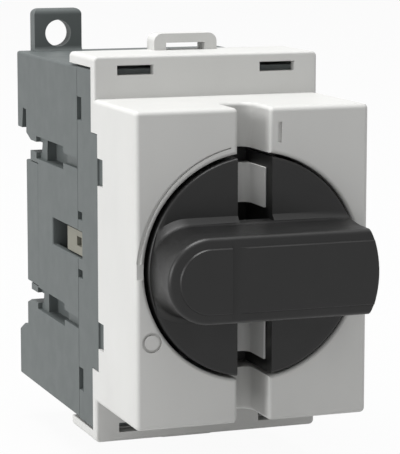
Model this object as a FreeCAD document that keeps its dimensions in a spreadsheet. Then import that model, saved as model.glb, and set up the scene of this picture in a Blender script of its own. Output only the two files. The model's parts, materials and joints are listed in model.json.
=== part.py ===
# Rotary switch disconnector, two modules wide, for a 35 mm rail.
# Frame: origin at the middle of the face that meets the rail, +X to the right seen from the front,
# +Y to the rear (into the panel), +Z up. The handle is modelled at OFF. Lengths are in millimetres.
import FreeCAD, Part

import math
import os

import Sketcher

# Driving dimensions: alias, value, what it is
SIZES = (
    ("module_width", 17.5, "width of one rail module"),
    ("module_count", 2, "modules side by side"),
    ("front_height", 45.0, "height of the raised front, the opening of a panel cover"),
    ("front_depth", 56.4, "rail face to the front of the cover"),
    ("block_depth", 19.2, "front of the cover to the flange"),
    ("flange_height", 57.3, "overall height of the cover"),
    ("cover_wall", 1.5, "wall of the cover"),
    ("skirt_wall", 1.6, "wall of the cover over the housing"),
    ("skirt_depth", 12.1, "flange to the rear edge of the skirt"),
    ("block_edge", 0.7, "rounding of the raised front"),
    ("flange_edge", 0.4, "rounding of the flange"),
    ("flange_corner", 0.7, "rounding of the corners of the flange"),
    ("side_notch_height", 35.2, "notch in the sides of the cover"),
    ("side_notch_depth", 3.05, "rear face of the flange to the bottom of the notch"),
    ("snap_window_depth", 2.55, "snap window, front to rear"),
    ("snap_window_low", 10.05, "inner end of a snap window"),
    ("snap_window_high", 14.1, "outer end of a snap window"),
    ("release_slot_low", 8.3, "inner end of a release slot"),
    ("release_slot_high", 13.9, "outer end of a release slot"),
    ("release_slot_level", 26.6, "height of a release slot"),
    ("release_slot_gap", 1.45, "height of the opening of a release slot"),
    ("loop_width", 10.0, "loop over the cover"),
    ("loop_height", 2.5, "loop above the skirt"),
    ("loop_bar", 1.4, "bar of the loop"),
    ("loop_leg", 1.9, "leg of the loop"),
    ("loop_depth", 3.4, "loop, front to rear"),
    ("loop_setback", 9.5, "flange to the front of the loop"),
    ("loop_corner", 1.3, "rounding of the loop"),
    ("recess_radius", 16.2, "recess for the disc"),
    ("recess_depth", 11.5, "front of the cover to the recess floor"),
    ("recess_edge", 0.55, "rounding of the mouth of the recess and the channel"),
    ("channel_width", 4.8, "padlock channel"),
    ("channel_depth", 8.0, "front of the cover to the channel floor"),
    ("channel_round", 1.6, "hollow rounding of the channel floor"),
    ("shaft_hole_radius", 4.6, "hole in the recess floor"),
    ("disc_radius", 15.75, "disc of the handle"),
    ("disc_proud", 0.5, "disc in front of the cover"),
    ("disc_depth", 11.7, "disc, front to rear"),
    ("disc_edge", 0.45, "rounding of the disc"),
    ("slot_width", 5.2, "slot in the disc"),
    ("slot_depth", 10.5, "front of the disc to the slot floor"),
    ("passage_roof", 1.0, "front of the cover to the roof of the padlock passage"),
    ("grip_height", 10.3, "front of the cover to the face of the grip"),
    ("grip_face_half", 4.45, "half height of the grip's face"),
    ("grip_step_half", 4.6, "half height at the foot of the step round the face"),
    ("grip_step", 0.3, "step round the face"),
    ("grip_ridge_half", 6.05, "half height of the grip's outer ridge"),
    ("grip_ridge_sink", 0.6, "face of the grip to its outer ridge"),
    ("grip_waist_half", 5.95, "half height of the grip's waist"),
    ("grip_waist_rise", 4.5, "disc to the grip's waist"),
    ("grip_flare_half", 6.35, "half height of the grip where it flares"),
    ("grip_flare_rise", 1.0, "disc to the start of the flare"),
    ("grip_foot_half", 7.5, "half height of the grip at the disc"),
    ("grip_round_x", 9.95, "middle of the grip's round end"),
    ("grip_tip_reach", 16.1, "reach of the grip's round end at its ridge"),
    ("grip_end_front", 14.8, "reach of the grip's square end at its face"),
    ("grip_end_foot", 15.6, "reach of the grip at the disc"),
    ("grip_face_round", 0.2, "rounding of the edge of the face"),
    ("grip_ridge_round", 0.8, "rounding of the outer ridge"),
    ("grip_waist_round", 12.0, "hollow rounding of the grip's waist"),
    ("grip_flare_round", 1.5, "hollow rounding of the flare"),
    ("passage_half", 6.6, "half height of the roof of the padlock passage"),
    ("pad_step_x", 7.0, "step at the end of the thumb pad"),
    ("pad_ramp_x", 4.5, "end of the groove beside the thumb pad"),
    ("pad_step", 0.5, "depth of the groove beside the thumb pad"),
    ("liner_low", 8.1, "inner end of a padlock liner"),
    ("liner_high", 13.8, "outer end of a padlock liner"),
    ("liner_wall", 0.3, "wall of a padlock liner"),
    ("liner_round", 1.2, "hollow rounding of a padlock liner"),
    ("liner_edge", 0.1, "rounding of the edge of a padlock liner"),
    ("liner_foot", 0.5, "foot of a padlock liner, beside the slot"),
    ("liner_foot_depth", 1.4, "foot of a padlock liner, front to rear"),
    ("liner_front", 1.7, "front of the cover to the liner's edge"),
    ("housing_height", 53.4, "height of the grey housing"),
    ("seam_depth", 28.7, "rail face to the seam of the two housings"),
    ("seam_slot_high", 22.2, "outer seam slot, outer end"),
    ("seam_slot_low", 18.8, "outer seam slot, inner end"),
    ("seam_notch_high", 5.0, "inner seam slot, outer end"),
    ("seam_notch_low", 3.8, "inner seam slot, inner end"),
    ("seam_slot_depth", 2.2, "seam slot, front to rear"),
    ("seam_slot_sink", 0.6, "seam slot, below the side"),
    ("seat_gap", 0.05, "gap round a snapped joint"),
    ("hook_sink", 0.4, "snap hook, below the side"),
    ("cap_top", 9.6, "upper end of the base cap"),
    ("cap_bottom", 10.2, "lower end of the base cap"),
    ("cap_depth", 6.8, "base cap, front to rear"),
    ("foot_depth", 4.8, "rail face to the rear of the feet"),
    ("rail_height", 35.0, "height of the rail"),
    ("rail_sheet", 1.0, "thickness of the rail"),
    ("claw_lip", 3.1, "reach of the claw behind the rail"),
    ("claw_slit", 2.25, "slit of the claw, front to rear"),
    ("foot_chamfer", 1.2, "chamfer of the lower foot"),
    ("rail_clearance", 0.4, "gap between the rail and the latch"),
    ("land_step", 2.4, "step of the rear beside the notches"),
    ("groove_level", 12.15, "height of a side groove"),
    ("groove_sink", 2.3, "depth of a side groove"),
    ("rear_notch_gap", 1.7, "height of the rear notch"),
    ("rear_notch_depth", 7.1, "rear notch, front to rear"),
    ("groove_pocket_gap", 3.55, "height of the groove's pocket"),
    ("groove_pocket_front", 21.2, "rail face to the front of the pocket"),
    ("groove_pocket_rear", 10.1, "rail face to the rear of the pocket"),
    ("groove_lead_front", 28.6, "rail face to the front of the shallow lead"),
    ("groove_lead_gap", 1.6, "height of the shallow lead"),
    ("groove_lead_sink", 0.7, "depth of the shallow lead"),
    ("window_front", 30.8, "rail face to the front of the side window"),
    ("window_rear", 14.9, "rail face to the rear of the side window"),
    ("window_gap", 4.2, "height of the side window"),
    ("lug_x", 11.3, "screw lug, sideways"),
    ("lug_width", 7.9, "screw lug"),
    ("lug_reach", 33.6, "end of the screw lug, above the middle"),
    ("lug_sheet", 2.6, "thickness of the screw lug"),
    ("lug_hole_radius", 2.15, "hole for an M4 screw"),
    ("lug_corner", 1.0, "rounding of the lug"),
    ("lug_root", 0.8, "hollow rounding where the lug leaves the housing"),
    ("housing_edge", 0.4, "rounding of the long edges of the rear housing"),
    ("pole_pitch", 10.3, "distance between poles"),
    ("chamber_width", 8.2, "contact chamber of a pole"),
    ("chamber_half", 17.0, "half height of a contact chamber"),
    ("chamber_rear", 10.9, "rail face to the rear of the chambers"),
    ("travel", 6.5, "travel of the contact carriage"),
    ("contact_gap_on", 0.3, "clearance left at the contacts when ON"),
    ("bar_sheet", 1.2, "thickness of a fixed contact"),
    ("bar_rear", 11.5, "rail face to the rear of a fixed contact"),
    ("bar_inner", 7.0, "inner end of a fixed contact"),
    ("bar_outer", 25.0, "outer end of a fixed contact"),
    ("tang_front", 20.6, "rail face to the front of the terminal end"),
    ("tang_width", 4.8, "width of the terminal end"),
    ("tip_height", 0.6, "contact tip"),
    ("tip_low", 8.0, "inner end of a contact tip"),
    ("tip_high", 11.2, "outer end of a contact tip"),
    ("blade_sheet", 1.2, "thickness of a moving contact"),
    ("blade_half", 11.5, "half length of a moving contact"),
    ("blade_width", 4.4, "width of a moving contact"),
    ("leaf_sheet", 0.25, "thickness of a leaf spring"),
    ("leaf_half", 3.4, "half length of a leaf spring"),
    ("bar_half", 4.0, "half height of the carriage's crossbar"),
    ("crossbar_half", 14.0, "half width of the carriage's crossbar"),
    ("arm_outer", 16.1, "outer face of a carriage arm"),
    ("arm_rear", 23.1, "rail face to the rear of an arm at OFF"),
    ("eye_height", 1.0, "slot in an arm, for the driver of an auxiliary contact"),
    ("eye_depth", 2.4, "slot in an arm, front to rear"),
    ("eye_level", 0.3, "height of the slot in an arm"),
    ("crossbar_depth", 5.4, "crossbar, front to rear"),
    ("crossbar_window_wall", 0.6, "crossbar wall in front of a leaf spring"),
    ("arm_inner", 12.6, "inner face of a carriage arm"),
    ("arm_half", 2.9, "half height of a carriage arm"),
    ("post_radius", 6.9, "post of the carriage"),
    ("post_bore", 3.4, "bore of the post"),
    ("pin_radius", 1.5, "pins of the post"),
    ("pin_reach", 9.3, "reach of the pins"),
    ("pin_depth", 34.6, "rail face to the pins at OFF"),
    ("running_gap", 0.3, "gap between moving and fixed pieces"),
    ("drum_bore", 7.3, "bore of the cam drum"),
    ("drum_radius", 9.7, "outside of the cam drum"),
    ("drum_front", 39.3, "rail face to the front of the drum"),
    ("drum_disc", 2.0, "end disc of the drum"),
    ("drum_rear", 25.2, "rail face to the rear of the drum"),
    ("drum_fit", 0.08, "radial clearance of a turning fit"),
    ("drum_neck", 4.6, "neck of the drum"),
    ("collar_bore", 10.3, "bore of the housing's collar"),
    ("collar_wall", 1.7, "wall of the housing's collar"),
    ("journal_radius", 2.8, "round part of the shaft"),
    ("shaft_square", 5.6, "square part of the shaft"),
    ("shaft_front", 51.0, "rail face to the front of the shaft"),
    ("shaft_rear", 36.0, "rail face to the rear of the shaft"),
    ("driver_sheet", 1.3, "thickness of the spring driver"),
    ("driver_radius", 6.4, "spring driver"),
    ("tab_reach", 8.4, "tabs that the snap spring holds"),
    ("tab_width", 2.0, "width of the tabs"),
    ("spring_wire", 0.45, "wire radius of the snap spring"),
    ("spring_radius", 5.9, "coil radius of the snap spring"),
    ("clip_radius", 4.2, "circlip on the shaft"),
    ("clip_sheet", 0.6, "thickness of the circlip"),
    ("clamp_level", 21.8, "middle of a terminal"),
    ("clamp_width", 7.2, "box clamp"),
    ("clamp_length", 6.0, "box clamp, along the wire"),
    ("clamp_side", 0.9, "side wall of a box clamp"),
    ("clamp_front", 26.3, "rail face to the front of an open clamp"),
    ("clamp_front_wall", 1.6, "threaded wall of a box clamp"),
    ("clamp_rear", 11.2, "rail face to the rear of an open clamp"),
    ("clamp_rear_wall", 1.2, "rear wall of a box clamp"),
    ("clamp_travel", 3.5, "travel of a box clamp"),
    ("terminal_gap", 0.3, "gap round a box clamp"),
    ("screw_radius", 1.9, "terminal screw"),
    ("screw_fit", 0.07, "radial clearance of a screw in its thread"),
    ("screw_head_radius", 2.9, "head of a terminal screw"),
    ("screw_head", 2.2, "height of the screw head"),
    ("screw_seat", 33.0, "rail face to the seat of the screw head"),
    ("screw_tip_gap", 0.4, "screw tip to the fixed contact"),
    ("screw_slot", 1.0, "slot of the screw head"),
    ("latch_width", 10.0, "rail latch"),
    ("latch_flange", 14.0, "guided part of the rail latch"),
    ("latch_flange_depth", 1.4, "guided part, front to rear"),
    ("latch_rear", 4.5, "rail face to the rear of the latch"),
    ("latch_hook", 2.0, "reach of the latch behind the rail"),
    ("latch_tail", 29.4, "lower end of the rail latch"),
    ("latch_window_width", 4.4, "window in the rail latch"),
    ("latch_guide_low", 25.7, "lower end of the guided part of the rail latch"),
    ("latch_pull_low", 28.4, "lower end of the slot for a screwdriver"),
    ("latch_pull_height", 1.0, "height of the slot for a screwdriver"),
    ("latch_window_top", 18.9, "upper end of the window"),
    ("latch_window_bottom", 25.9, "lower end of the window"),
    ("latch_post", 25.3, "lower end of the post in the window"),
    ("latch_post_height", 1.2, "height of the post in the window"),
    ("latch_coil", 1.05, "coil radius of the latch spring"),
    ("latch_wire", 0.25, "wire radius of the latch spring"),
    ("latch_coil_turns", 5, "turns of the latch spring"),
)

doc = FreeCAD.newDocument("switch_disconnector")
sheet = doc.addObject("Spreadsheet::Sheet", "Sizes")


class Size:
    """A length as a number, with the sheet expression that gives it."""

    def __init__(self, value, text):
        self.value = value
        self.text = text

    def __add__(self, other):
        return join(self, "+", other)

    def __radd__(self, other):
        return join(other, "+", self)

    def __sub__(self, other):
        return join(self, "-", other)

    def __rsub__(self, other):
        return join(other, "-", self)

    def __mul__(self, other):
        return join(self, "*", other)

    def __rmul__(self, other):
        return join(other, "*", self)

    def __truediv__(self, other):
        return join(self, "/", other)

    def __neg__(self):
        return join(-1, "*", self)


OPERATIONS = {
    "+": lambda a, b: a + b,
    "-": lambda a, b: a - b,
    "*": lambda a, b: a * b,
    "/": lambda a, b: a / b,
}


def as_size(value):
    if isinstance(value, Size):
        return value
    return Size(float(value), f"({value})")


def join(left, sign, right):
    left = as_size(left)
    right = as_size(right)
    return Size(OPERATIONS[sign](left.value, right.value), f"({left.text} {sign} {right.text})")


class Sizes:
    """The driving dimensions, one attribute for each alias."""


S = Sizes()
for row, (alias, value, meaning) in enumerate(SIZES, start=1):
    sheet.set(f"A{row}", alias)
    sheet.set(f"B{row}", str(value))
    sheet.setAlias(f"B{row}", alias)
    sheet.set(f"C{row}", meaning)
    setattr(S, alias, Size(float(value), f"Sizes.{alias}"))
doc.recompute()

OVER = as_size(1)    # how far a cutting tool runs past a face
SINK = as_size(1)    # how far a joined solid reaches into its neighbour
NEAR = 1e-4          # how close an edge must lie to the place where it is looked for
ZERO = as_size(0)


def bind(thing, name, size):
    thing.setExpression(name, as_size(size).text)


def place(thing, x, y, z):
    bind(thing, "Placement.Base.x", x)
    bind(thing, "Placement.Base.y", y)
    bind(thing, "Placement.Base.z", z)


def box(name, x, y, z):
    """A block between two limits along each axis."""
    block = doc.addObject("Part::Box", name)
    bind(block, "Length", x[1] - x[0])
    bind(block, "Width", y[1] - y[0])
    bind(block, "Height", z[1] - z[0])
    place(block, x[0], y[0], z[0])
    return block


TURNS = {
    "x": FreeCAD.Rotation(FreeCAD.Vector(0, 1, 0), 90),
    "y": FreeCAD.Rotation(FreeCAD.Vector(1, 0, 0), -90),
    "z": FreeCAD.Rotation(),
}


def cylinder(name, along, radius, length, x, y, z):
    """A round bar that starts at x, y, z and runs along one axis."""
    bar = doc.addObject("Part::Cylinder", name)
    bar.Placement = FreeCAD.Placement(FreeCAD.Vector(), TURNS[along])
    bind(bar, "Radius", radius)
    bind(bar, "Height", length)
    place(bar, x, y, z)
    return bar


def fuse(name, *pieces):
    whole = doc.addObject("Part::MultiFuse", name)
    whole.Shapes = list(pieces)
    whole.Refine = True
    return whole


def cut(name, base, *tools):
    tool = tools[0] if len(tools) == 1 else fuse(name + "_tools", *tools)
    rest = doc.addObject("Part::Cut", name)
    rest.Base = base
    rest.Tool = tool
    rest.Refine = True
    return rest


def common(name, first, second):
    shared = doc.addObject("Part::Common", name)
    shared.Base = first
    shared.Tool = second
    shared.Refine = True
    return shared


def both(size):
    """Limits that lie the same distance on each side of the middle."""
    return (-size, size)


def around(middle, width):
    return (middle - width / 2, middle + width / 2)


def mirrored(side, low, high):
    """Limits on the chosen side of the middle, lower one first."""
    return (low, high) if side > 0 else (-high, -low)


def rectangle(u, v):
    return [(u[0], v[0]), (u[1], v[0]), (u[1], v[1]), (u[0], v[1])]


PLANES = {"y": "XZ_Plane", "x": "YZ_Plane", "z": "XY_Plane"}


class Piece:
    """A body built up feature by feature, its sketches on planes across one axis."""

    def __init__(self, label):
        self.label = label
        self.body = doc.addObject("PartDesign::Body", label)
        self.body.Label = label
        self.planes = {plane.Role: plane for plane in self.body.Origin.OriginFeatures}
        self.count = 0

    def sketch(self, across, level, outlines):
        """Closed outlines across an axis: lists of corners, or (u, v, radius) for a circle."""
        self.count += 1
        drawn = self.body.newObject("Sketcher::SketchObject", f"{self.label}_sketch_{self.count}")
        drawn.AttachmentSupport = (self.planes[PLANES[across]], "")
        drawn.MapMode = "FlatFace"
        bind(drawn, "AttachmentOffset.Base.z", -level if across == "y" else level)
        for outline in outlines:
            if isinstance(outline, tuple):
                self.circle(drawn, *outline)
            else:
                self.polygon(drawn, outline)
        return drawn

    def circle(self, drawn, u, v, radius):
        middle = FreeCAD.Vector(as_size(u).value, as_size(v).value, 0)
        ring = drawn.addGeometry(Part.Circle(middle, FreeCAD.Vector(0, 0, 1), radius.value))
        self.fix_point(drawn, ring, 3, u, v)
        index = drawn.addConstraint(Sketcher.Constraint("Radius", ring, radius.value))
        drawn.setExpression(f"Constraints[{index}]", radius.text)

    def polygon(self, drawn, corners):
        points = [FreeCAD.Vector(as_size(u).value, as_size(v).value, 0) for u, v in corners]
        lines = []
        for start, end in zip(points, points[1:] + points[:1]):
            lines.append(drawn.addGeometry(Part.LineSegment(start, end)))
        for line, following in zip(lines, lines[1:] + lines[:1]):
            drawn.addConstraint(Sketcher.Constraint("Coincident", line, 2, following, 1))
        for line, (u, v) in zip(lines, corners):
            self.fix_point(drawn, line, 1, u, v)

    def fix_point(self, drawn, geometry, end, u, v):
        for kind, size in (("DistanceX", as_size(u)), ("DistanceY", as_size(v))):
            index = drawn.addConstraint(Sketcher.Constraint(kind, -1, 1, geometry, end, size.value))
            drawn.setExpression(f"Constraints[{index}]", size.text)

    def pad(self, across, limits, *outlines):
        """Adds material between two levels along an axis."""
        level = limits[1] if across == "y" else limits[0]
        feature = self.body.newObject("PartDesign::Pad", f"{self.label}_pad_{self.count}")
        feature.Profile = self.sketch(across, level, outlines)
        bind(feature, "Length", limits[1] - limits[0])
        return feature

    def pocket(self, across, limits, *outlines):
        """Takes material away between two levels along an axis."""
        level = limits[0] if across == "y" else limits[1]
        feature = self.body.newObject("PartDesign::Pocket", f"{self.label}_pocket_{self.count}")
        feature.Profile = self.sketch(across, level, outlines)
        bind(feature, "Length", limits[1] - limits[0])
        return feature

    def ring(self, kind, x, angle, *outlines):
        """Turns outlines of (radius, level) about the front-to-rear axis at x, half the angle each way."""
        feature = self.body.newObject(f"PartDesign::{kind}", f"{self.label}_ring_{self.count}")
        profile = self.sketch("z", ZERO, outlines)
        bind(profile, "AttachmentOffset.Base.x", x)
        feature.Profile = profile
        feature.ReferenceAxis = (profile, ["V_Axis"])
        feature.Angle = angle
        feature.Midplane = True
        return feature

    def fillet(self, radius, *places):
        """Rounds the edges that lie at one of the given places."""
        doc.recompute()
        base = self.body.Tip
        names = []
        for number, edge in enumerate(base.Shape.Edges, start=1):
            if any(edge_lies_at(edge, spot) for spot in places):
                names.append(f"Edge{number}")
        feature = self.body.newObject("PartDesign::Fillet", f"{self.label}_round_{self.count}")
        feature.Base = (base, names)
        bind(feature, "Radius", radius)
        self.count += 1
        return feature


class Between:
    """A range in which an edge is looked for."""

    def __init__(self, low, high):
        self.low = as_size(low).value
        self.high = as_size(high).value


def lies_at(here, wanted):
    if isinstance(wanted, Between):
        return wanted.low - NEAR <= here <= wanted.high + NEAR
    return min(abs(here - as_size(size).value) for size in wanted) <= NEAR


def edge_lies_at(edge, spot):
    """True where the whole edge has the stated x, y and z, or the stated radius about the Y axis."""
    points = [edge.valueAt(edge.FirstParameter), edge.valueAt(edge.LastParameter)]
    points.append(edge.valueAt((edge.FirstParameter + edge.LastParameter) / 2))
    for axis, wanted in spot.items():
        for point in points:
            here = math.hypot(point.x, point.z) if axis == "r" else getattr(point, axis)
            if not lies_at(here, wanted):
                return False
    return True


PIECES = []


def keep(thing, label):
    """Marks a finished sub-part, which is written to a file of its own."""
    thing.Label = label
    PIECES.append((label, thing))
    return thing


# Levels and faces that several pieces share
half_width = S.module_width * S.module_count / 2
front = -S.front_depth
flange_front = front + S.block_depth
flange_rear = flange_front + S.cover_wall
block_half = S.front_height / 2
flange_half = S.flange_height / 2
housing_half = S.housing_height / 2
notch_front = flange_rear - S.side_notch_depth
recess_floor = front + S.recess_depth
recess_back = recess_floor + S.cover_wall
channel_floor = front + S.channel_depth
seam = -S.seam_depth
rail_half = S.rail_height / 2
latch_front = S.rail_sheet + S.rail_clearance
sides = both(half_width)
cut_sides = both(half_width + OVER)
disc_front = front - S.disc_proud
disc_back = disc_front + S.disc_depth
slot_floor = disc_front + S.slot_depth
drum_front = -S.drum_front
neck_front = drum_front - 4 * S.spring_wire
driver_back = neck_front - S.running_gap
collar_front = recess_back + S.seat_gap * 4
cavity_half = S.arm_outer + S.running_gap
crossbar_rear = -S.bar_rear - S.bar_sheet - S.travel
crossbar_front = crossbar_rear - S.crossbar_depth
blade_front = -S.bar_rear - S.bar_sheet - 2 * S.tip_height - S.contact_gap_on - S.travel - S.blade_sheet
leaf_front = crossbar_front + S.crossbar_window_wall
clamp_half = S.clamp_length / 2
POLES = (("left", -1), ("centre", 0), ("right", 1))
ENDS = (("line", 1), ("load", -1))


def front_cover():
    """Snap-on cover: raised front, flange, skirts and loops, hollow behind."""
    shell = Piece("cover_outside")
    shell.pad("y", (front, flange_rear), rectangle(sides, both(block_half)))
    shell.fillet(S.block_edge, {"y": [front]}, {"x": sides, "z": both(block_half)})
    shell.pad("y", (flange_front, flange_rear), rectangle(sides, both(flange_half)))
    skirt_inside = flange_half - S.skirt_wall
    skirt_rear = flange_rear + S.skirt_depth - S.cover_wall
    skirts = [rectangle(sides, mirrored(side, skirt_inside, flange_half)) for side in (1, -1)]
    shell.pad("y", (flange_rear, skirt_rear), *skirts)
    shell.fillet(S.flange_corner, {"x": sides, "z": both(flange_half)})
    shell.fillet(S.flange_edge, {"y": [flange_front], "z": both(flange_half)})
    loop_front = flange_front + S.loop_setback
    loop_outside = both(S.loop_width / 2)
    loop_top = flange_half + S.loop_height
    loops = [rectangle(loop_outside, mirrored(side, skirt_inside, loop_top)) for side in (1, -1)]
    shell.pad("y", (loop_front, loop_front + S.loop_depth), *loops)
    shell.fillet(S.loop_corner, {"x": loop_outside, "z": both(loop_top)})
    loop_inside = both(S.loop_width / 2 - S.loop_leg)
    opening_top = loop_top - S.loop_bar
    openings = [rectangle(loop_inside, mirrored(side, flange_half, opening_top)) for side in (1, -1)]
    shell.pocket("y", (loop_front - OVER, loop_front + S.loop_depth + OVER), *openings)
    recess = (ZERO, ZERO, S.recess_radius)
    shell.pocket("y", (front - OVER, recess_floor), recess)
    shell.pocket("y", (recess_floor - OVER, flange_rear), (ZERO, ZERO, S.shaft_hole_radius))
    channel = both(S.channel_width / 2)
    shell.pocket("y", (front - OVER, channel_floor), rectangle(channel, both(block_half + OVER)))
    shell.fillet(S.channel_round, {"x": channel, "y": [channel_floor]})
    shell.fillet(S.recess_edge, {"r": [S.recess_radius], "y": [front]}, {"x": channel, "y": [front]})
    slots = []
    for across in (1, -1):
        for side in (1, -1):
            slot_u = mirrored(across, S.release_slot_low, S.release_slot_high)
            slots.append(rectangle(slot_u, around(side * S.release_slot_level, S.release_slot_gap)))
    shell.pocket("y", (flange_front - OVER, flange_rear + OVER), *slots)

    # The hollow leaves a wall round the recess and under the channel
    inside = both(half_width - S.cover_wall)
    hollow_height = both(block_half - S.cover_wall)
    hollow_front = front + S.cover_wall
    room = box("cover_room", inside, (hollow_front, flange_rear + OVER), hollow_height)
    ring = cylinder("cover_ring", "y", S.recess_radius + S.cover_wall, recess_back - hollow_front + OVER,
                    ZERO, hollow_front - OVER, ZERO)
    trough = box("cover_trough", both(S.channel_width / 2 + S.cover_wall),
                 (hollow_front - OVER, channel_floor + S.cover_wall), both(block_half))
    hollow = cut("cover_hollow", room, ring, trough)
    notch = box("cover_notch", cut_sides, (notch_front, flange_rear + OVER), both(S.side_notch_height / 2))
    windows = []
    for side in (1, -1):
        level = mirrored(side, S.snap_window_low, S.snap_window_high)
        windows.append(box("cover_window", cut_sides,
                           (notch_front - S.snap_window_depth, notch_front + OVER), level))
    return cut("cover_cut", shell.body, hollow, notch, *windows)


def front_housing():
    """Mechanism housing between the cover and the seam, with the collar that carries the cam drum."""
    raised_half = S.side_notch_height / 2 - S.seat_gap
    raised_front = notch_front + S.seat_gap
    block = Piece("front_block")
    block.pad("y", (flange_rear, seam), rectangle(sides, both(housing_half)))
    block.pad("y", (raised_front, flange_rear), rectangle(sides, both(raised_half)))
    collar = (ZERO, ZERO, S.collar_bore + S.collar_wall)
    block.pad("y", (collar_front, raised_front), collar)
    hook_front = notch_front - S.snap_window_depth + S.seat_gap
    hook_outside = half_width - S.hook_sink
    hook_inside = half_width - S.cover_wall
    hooks = []
    for across in (1, -1):
        for side in (1, -1):
            level = mirrored(side, S.snap_window_low + S.seat_gap, S.snap_window_high - S.seat_gap)
            hooks.append(rectangle(mirrored(across, hook_inside - S.cover_wall, hook_outside), level))
    block.pad("y", (hook_front, raised_front), *hooks)
    block.pocket("y", (collar_front - OVER, seam), (ZERO, ZERO, S.collar_bore))

    arm_room = box("front_arm_room", both(cavity_half), (-S.window_front - S.running_gap, seam + OVER),
                   both(S.arm_half + S.running_gap))
    window = box("front_window", cut_sides, (-S.window_front, seam + OVER), both(S.window_gap / 2))
    tools = [arm_room, window]
    slots = ((S.seam_slot_low, S.seam_slot_high), (S.seam_notch_low, S.seam_notch_high))
    for across in (1, -1):
        for side in (1, -1):
            for low, high in slots:
                x = mirrored(across, half_width - S.seam_slot_sink, half_width + OVER)
                tools.append(box("seam_slot", x, (seam - S.seam_slot_depth, seam + OVER),
                                 mirrored(side, low, high)))
    pocket_front = -S.clamp_front - S.clamp_travel - 2 * S.terminal_gap
    for pole, column in POLES:
        for end, side in ENDS:
            x = column * S.pole_pitch
            z = side * S.clamp_level
            tools.append(cylinder("head_hole", "y", S.screw_head_radius + S.terminal_gap,
                                  -S.screw_seat - flange_rear + OVER, x, flange_rear - OVER, z))
            tools.append(cylinder("screw_hole", "y", S.screw_radius + S.terminal_gap,
                                  S.screw_seat, x, -S.screw_seat - OVER, z))
            tools.append(box("clamp_room", around(x, S.clamp_width + 2 * S.terminal_gap),
                             (pocket_front, seam + OVER), around(z, S.clamp_length + 2 * S.terminal_gap)))
    return cut("front_housing_cut", block.body, *tools)


def rear_outline():
    """The rear housing seen from the side: land for the base cap, notches, claw and feet."""
    land = -S.cap_depth
    notch = S.rear_notch_gap / 2
    step = -S.land_step
    lip_top = rail_half + S.running_gap / 3
    claw_low = lip_top - S.claw_lip
    slit_rear = S.claw_slit
    foot_low = -rail_half - S.running_gap
    return [
        (seam, housing_half),
        (S.foot_depth, housing_half),
        (S.foot_depth, claw_low),
        (slit_rear, claw_low),
        (slit_rear - S.claw_slit / 4, lip_top),
        (ZERO, lip_top),
        (ZERO, S.groove_level + notch * 2),
        (step, S.groove_level + notch),
        (step, S.cap_top + S.seat_gap),
        (land, S.cap_top + S.seat_gap),
        (land, -S.cap_bottom - S.seat_gap),
        (step, -S.cap_bottom - S.seat_gap),
        (step, -S.groove_level - notch),
        (ZERO, -S.groove_level - notch * 2),
        (ZERO, foot_low),
        (S.claw_slit, foot_low),
        (S.foot_depth, foot_low - S.foot_chamfer),
        (S.foot_depth, -housing_half),
        (seam, -housing_half),
    ]


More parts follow.
